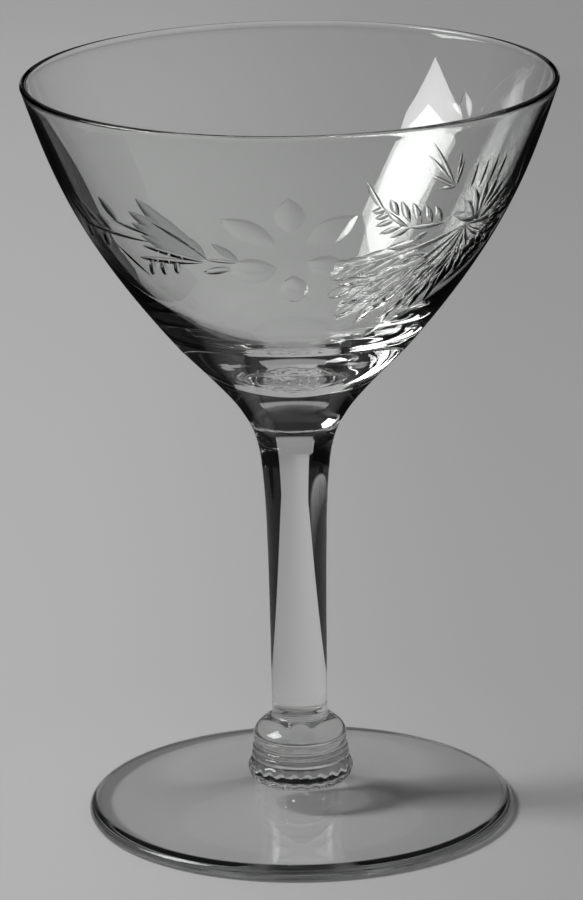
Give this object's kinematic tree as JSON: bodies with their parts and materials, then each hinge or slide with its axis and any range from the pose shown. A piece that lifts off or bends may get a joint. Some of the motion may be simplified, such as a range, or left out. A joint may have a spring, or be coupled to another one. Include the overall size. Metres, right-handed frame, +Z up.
{
  "type": "sherbet glass",
  "caption": "Clear stemmed dessert glass: wide open engraved bowl with a solid base, drawn stem, ringed knop and a round disc foot.",
  "frame": {"origin": "middle of the plane that the foot stands on", "axes": "+Z up along the axis of the stem, towards the rim"},
  "size_m": [0.09, 0.09, 0.1294],
  "materials": {
    "foot_glass": "fire polished clear glass",
    "knop_glass": "tooled and fire polished clear glass",
    "stem_glass": "drawn clear glass",
    "bowl_glass": "blown clear glass with polished wheel engraving"
  },
  "bodies": {
    "root": {"foot": "foot_glass", "merese": "knop_glass", "knop": "knop_glass", "stem": "stem_glass", "bowl": "bowl_glass"}
  },
  "joints": []
}
